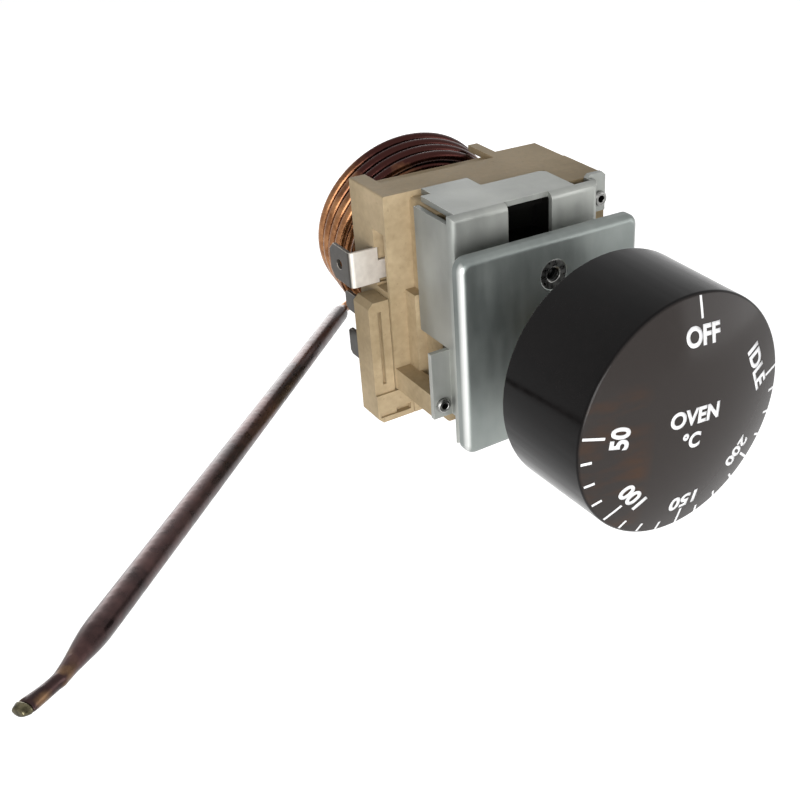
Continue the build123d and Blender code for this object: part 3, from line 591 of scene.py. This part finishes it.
def tickTree():
    # a thin bar for each mark of the scale, long at every so manyth mark, turned about the spindle
    tree, size = startTree("dialTickTree", dialTicks)
    marks = addNode(tree, "GeometryNodeMeshLine", {"Count": size["Count"], "Offset": (0, 0, 0)})
    index = addNode(tree, "GeometryNodeInputIndex").outputs[0]
    angle = addMath(tree, "MULTIPLY_ADD", index, size["Step Angle"], size["First Angle"])
    turn = addNode(tree, "ShaderNodeCombineXYZ", {"Y": addMath(tree, "RADIANS", angle)})
    rotation = addNode(tree, "FunctionNodeEulerToRotation", {0: turn.outputs[0]})
    remainder = addMath(tree, "MODULO", index, size["Long Every"])
    isLong = addMath(tree, "LESS_THAN", remainder, 0.5)
    isShort = addMath(tree, "SUBTRACT", 1.0, isLong)
    join = addNode(tree, "GeometryNodeJoinGeometry")
    for length, chosen in ((size["Long Length"], isLong), (size["Short Length"], isShort)):
        bar = addNode(tree, "GeometryNodeMeshGrid", {
            "Size X": addMath(tree, "MULTIPLY", size["Width"], mm),
            "Size Y": addMath(tree, "MULTIPLY", length, mm), "Vertices X": 2, "Vertices Y": 6})
        middle = addMath(tree, "MULTIPLY_ADD", length, -0.5, size["Out"])
        out = addNode(tree, "ShaderNodeCombineXYZ", {"Z": addMath(tree, "MULTIPLY", middle, mm)})
        upright = addNode(tree, "GeometryNodeTransform", {
            "Geometry": bar.outputs[0], "Translation": out.outputs[0],
            "Rotation": (math.radians(90), 0, 0)})
        placed = addNode(tree, "GeometryNodeInstanceOnPoints", {
            "Points": marks.outputs[0], "Selection": chosen, "Instance": upright.outputs[0],
            "Rotation": rotation.outputs[0]})
        tree.links.new(placed.outputs[0], join.inputs[0])
    endTree(tree, size, join.outputs[0])
    return tree


ticks = tickTree()
tickMeshes = [looseMesh(growPiece("dial_ticks", ticks, sizes, materials["dialWhite"]))
              for sizes in (dialTicks, offTick)]
thickenPrint("dial_ticks", joinMeshes("dial_ticks", tickMeshes))
print("dial printed:", len(words), "words and", dialTicks["Count"] + 1, "ticks")


# Threads in the two tapped spacers, as a three-sided ridge wound down each hole

spacerThread = {"Radius": 1.66, "Pitch": 0.7, "Turns": 14.0, "Depth": 0.24, "Front": 0.45,
                "Spacing": 28.0, "Count": 2}
threadSharp = 30    # degrees


def threadTree():
    tree, size = startTree("spacerThreadTree", spacerThread)
    radius = addMath(tree, "MULTIPLY", size["Radius"], mm)
    length = addMath(tree, "MULTIPLY", addMath(tree, "MULTIPLY", size["Pitch"], size["Turns"]), mm)
    spiral = addNode(tree, "GeometryNodeCurveSpiral", {
        "Resolution": 24, "Rotations": size["Turns"], "Start Radius": radius, "End Radius": radius,
        "Height": length})
    ridge = addNode(tree, "GeometryNodeCurvePrimitiveCircle", {
        "Resolution": 3, "Radius": addMath(tree, "MULTIPLY", size["Depth"], mm)})
    wound = addNode(tree, "GeometryNodeCurveToMesh", {
        "Curve": spiral.outputs[0], "Profile Curve": ridge.outputs[0], "Fill Caps": True})
    front = addNode(tree, "ShaderNodeCombineXYZ", {"Y": addMath(tree, "MULTIPLY", size["Front"], mm)})
    laid = addNode(tree, "GeometryNodeTransform", {
        "Geometry": wound.outputs[0], "Translation": front.outputs[0],
        "Rotation": (math.radians(-90), 0, 0)})
    half = addMath(tree, "MULTIPLY", size["Spacing"], -0.5 * mm)
    start = addNode(tree, "ShaderNodeCombineXYZ", {"Z": half})
    step = addNode(tree, "ShaderNodeCombineXYZ", {"Z": addMath(tree, "MULTIPLY", size["Spacing"], mm)})
    holes = addNode(tree, "GeometryNodeMeshLine", {
        "Count": size["Count"], "Start Location": start.outputs[0], "Offset": step.outputs[0]})
    placed = addNode(tree, "GeometryNodeInstanceOnPoints", {
        "Points": holes.outputs[0], "Instance": laid.outputs[0]})
    endTree(tree, size, placed.outputs[0])
    return tree


threads = growPiece("spacer_threads", threadTree(), spacerThread, materials["plainSteel"])
smoothMesh(threads.data, threadSharp)
dress(threads, materials["plainSteel"], "housing")
print("spacer threads wound:", len(threads.data.polygons), "faces")


# Inner windings of the capillary. The solid has the outer layer of the coil, and the photo shows
# the ring filled with further turns. Each layer leaves the one outside it and comes back to it

coilSeat = {"place": (-2.7, 47.02, 6.3), "tilt": 14.3, "pan": -2.9, "sharpAngle": 50}
innerTurns = {"Radius": 21.15, "Inset": 2.42, "Pitch": 2.7, "First Half": 0.0, "Last Half": 8.0,
              "Ease": 0.8, "Tube": 1.2, "Points": 420}
secondTurns = {**innerTurns, "Radius": 18.73, "First Half": 1.0, "Last Half": 7.0, "Points": 320}


def windingTree():
    tree, size = startTree("windingTree", innerTurns)
    line = addNode(tree, "GeometryNodeCurvePrimitiveLine")
    points = addNode(tree, "GeometryNodeResampleCurve", {
        "Curve": line.outputs[0], "Count": size["Points"]})
    along = addNode(tree, "GeometryNodeSplineParameter").outputs["Factor"]
    span = addMath(tree, "SUBTRACT", size["Last Half"], size["First Half"])
    half = addMath(tree, "MULTIPLY_ADD", along, span, size["First Half"])
    angle = addMath(tree, "MULTIPLY_ADD", half, -math.pi, -math.pi / 2)
    left = addMath(tree, "ADD", size["First Half"], size["Ease"])
    leave = addRange(tree, half, size["First Half"], left, interpolation_type="SMOOTHSTEP")
    turning = addMath(tree, "SUBTRACT", size["Last Half"], size["Ease"])
    back = addRange(tree, half, size["Last Half"], turning, interpolation_type="SMOOTHSTEP")
    inset = addMath(tree, "MULTIPLY", addMath(tree, "MULTIPLY", leave, back), size["Inset"])
    radius = addMath(tree, "MULTIPLY", addMath(tree, "SUBTRACT", size["Radius"], inset), mm)
    # each half turn climbs half a pitch, gently at its ends, as the solid's leaning half turns do
    part = addMath(tree, "MULTIPLY", addMath(tree, "FRACT", half), math.pi)
    climb = addMath(tree, "MULTIPLY_ADD", addMath(tree, "COSINE", part), -0.5, 0.5)
    halves = addMath(tree, "ADD", addMath(tree, "ADD", addMath(tree, "FLOOR", half), climb), 0.5)
    rise = addMath(tree, "MULTIPLY", halves, addMath(tree, "MULTIPLY", size["Pitch"], 0.5 * mm))
    spot = addNode(tree, "ShaderNodeCombineXYZ", {
        "X": addMath(tree, "MULTIPLY", addMath(tree, "COSINE", angle), radius), "Y": rise,
        "Z": addMath(tree, "MULTIPLY", addMath(tree, "SINE", angle), radius)})
    wound = addNode(tree, "GeometryNodeSetPosition", {
        "Geometry": points.outputs[0], "Position": spot.outputs[0]})
    tube = addNode(tree, "GeometryNodeCurvePrimitiveCircle", {
        "Resolution": 12, "Radius": addMath(tree, "MULTIPLY", size["Tube"], mm)})
    swept = addNode(tree, "GeometryNodeCurveToMesh", {
        "Curve": wound.outputs[0], "Profile Curve": tube.outputs[0], "Fill Caps": True})
    panned = addNode(tree, "GeometryNodeTransform", {
        "Geometry": swept.outputs[0], "Rotation": (0, 0, math.radians(coilSeat["pan"]))})
    seated = addNode(tree, "GeometryNodeTransform", {
        "Geometry": panned.outputs[0], "Rotation": (math.radians(coilSeat["tilt"]), 0, 0),
        "Translation": [value * mm for value in coilSeat["place"]]})
    endTree(tree, size, seated.outputs[0])
    return tree


winding = windingTree()
for name, sizes in (("capillary_inner_turns", innerTurns), ("capillary_second_turns", secondTurns)):
    turns = growPiece(name, winding, sizes, materials["tubeCopper"])
    smoothMesh(turns.data, coilSeat["sharpAngle"])
    dress(turns, materials["tubeCopper"], "housing")
    print(name, "wound:", len(turns.data.polygons), "faces")


# Floor, lamps and camera

stage = {"floor": -0.16, "size": 6.0, "pale": (0.84, 0.84, 0.84), "rough": 0.9, "shown": 0.74,
         "world": 0.24}
lamps = {
    "keyLamp": {"place": (-0.52, -0.74, 0.05), "size": (0.6, 0.6), "power": 10.0},
    "fillLamp": {"place": (0.70, -0.55, 0.05), "size": (0.6, 0.6), "power": 3.0},
    "backLamp": {"place": (0.20, 0.90, 0.0), "size": (0.7, 0.7), "power": 4.0},
}


def seenRays(tree):
    # 1 for what the camera, a gloss or clear material looks at, 0 for light that falls on things
    rays = addNode(tree, "ShaderNodeLightPath").outputs
    seen = addMath(tree, "MAXIMUM", rays["Is Camera Ray"], rays["Is Glossy Ray"])
    return addMath(tree, "MAXIMUM", seen, rays["Is Transmission Ray"])


def makeFloor():
    shape = bmesh.new()
    bmesh.ops.create_grid(shape, x_segments=1, y_segments=1, size=stage["size"])
    bmesh.ops.translate(shape, verts=shape.verts, vec=(0, 0, stage["floor"]))
    floor = newPiece("floor", bakeShape(shape, bpy.data.meshes.new("floor")))
    material = bpy.data.materials.new("paleFloor")
    material.use_nodes = True
    tree = material.node_tree
    shader = tree.nodes["Principled BSDF"].inputs
    shader["Base Color"].default_value = (*stage["pale"], 1)
    shader["Roughness"].default_value = stage["rough"]
    shader["Emission Color"].default_value = (1, 1, 1, 1)
    shown = addMath(tree, "MULTIPLY", seenRays(tree), stage["shown"])
    tree.links.new(shown, shader["Emission Strength"])
    floor.data.materials.append(material)


def makeWorld():
    world = bpy.data.worlds.new("studio")
    scene.world = world
    world.use_nodes = True
    tree = world.node_tree
    background = tree.nodes["Background"].inputs
    background["Color"].default_value = (1, 1, 1, 1)
    strength = addRange(tree, seenRays(tree), 0.0, 1.0, stage["world"], 1.0)
    tree.links.new(strength, background["Strength"])


makeFloor()
makeWorld()
for name, lamp in lamps.items():
    light = bpy.data.lights.new(name, "AREA")
    light.shape = "RECTANGLE"
    light.size, light.size_y = lamp["size"]
    light.energy = lamp["power"]
    hung = newPiece(name, light)
    hung.location = lamp["place"]
    hung.rotation_euler = (-Vector(lamp["place"])).to_track_quat("-Z", "Y").to_euler()

view = {"place": (-0.12791, -0.17087, 0.11099), "forward": (0.54670, 0.66360, -0.51064),
        "roll": 1.6, "lens": 51.03, "sensor": 36.0, "shift": -0.2487, "clip": 0.01}
lens = bpy.data.cameras.new("camera")
lens.lens = view["lens"]
lens.sensor_width = view["sensor"]
lens.shift_x = view["shift"]
lens.clip_start = view["clip"]
camera = newPiece("camera", lens)
turn = Vector(view["forward"]).to_track_quat("-Z", "Y").to_matrix().to_4x4()
roll = Matrix.Rotation(math.radians(view["roll"]), 4, "Z")
camera.matrix_world = Matrix.Translation(view["place"]) @ turn @ roll
scene.camera = camera
scene.view_settings.view_transform = "Standard"
print("stage, lamps and camera set")
